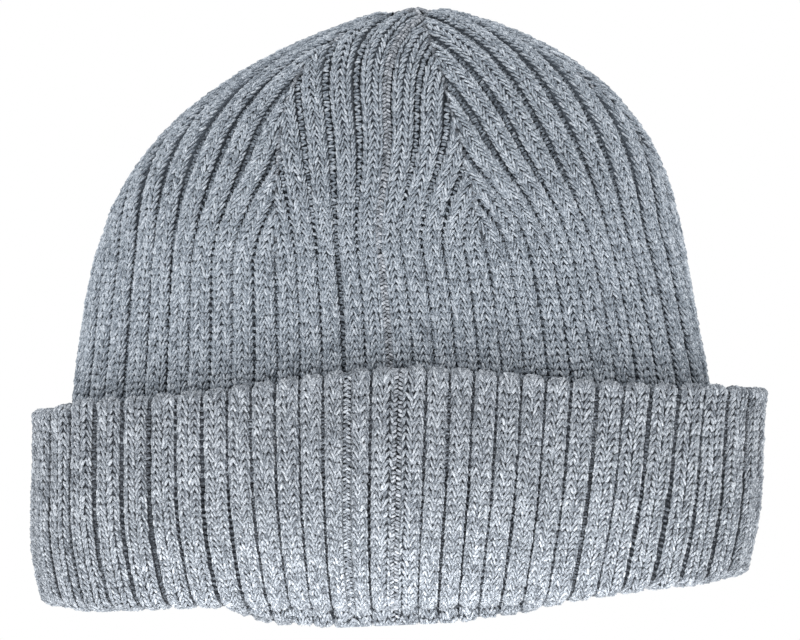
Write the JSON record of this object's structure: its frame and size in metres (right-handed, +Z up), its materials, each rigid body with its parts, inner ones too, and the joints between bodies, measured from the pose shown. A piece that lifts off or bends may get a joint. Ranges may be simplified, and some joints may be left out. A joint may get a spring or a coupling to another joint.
{
  "type": "knit beanie hat",
  "caption": "Rib-knit beanie with a turned-up cuff, a crown of darted gores drawn to a closed tip, standing open on the fold of its cuff.",
  "frame": {"origin": "middle of the footprint, on the surface the hat stands on", "axes": "+Z up to the tip of the crown, +X along the long axis of the opening, -Y to the linked back seam"},
  "size_m": [0.2322, 0.099, 0.192],
  "materials": {
    "knit": "heather blue-grey rib knit, soft and matte",
    "turned_knit": "heather blue-grey rib knit, the turned-up face, soft and matte",
    "seam_yarn": "the same heather yarn, linked or gathered tightly"
  },
  "bodies": {
    "cuff": {"cuff_fold": "turned_knit", "cuff_band": "turned_knit", "cuff_welt": "turned_knit", "cuff_seam": "seam_yarn"},
    "crown": {"body_tube": "knit", "gore_back_right_half": "knit", "gore_back_right": "knit", "gore_front_right": "knit", "gore_front_centre": "knit", "gore_front_left": "knit", "gore_back_left": "knit", "gore_back_left_half": "knit", "dart_back_right": "seam_yarn", "dart_side_right": "seam_yarn", "dart_front_right": "seam_yarn", "dart_front_left": "seam_yarn", "dart_side_left": "seam_yarn", "dart_back_left": "seam_yarn", "body_seam": "seam_yarn", "crown_seam": "seam_yarn", "closing_knot": "seam_yarn"}
  },
  "joints": [
    {"name": "cuff_turn_down", "type": "slide", "parent": "cuff", "child": "crown", "axis": [0, 0, 1], "range_m": [0, 0.05]}
  ]
}
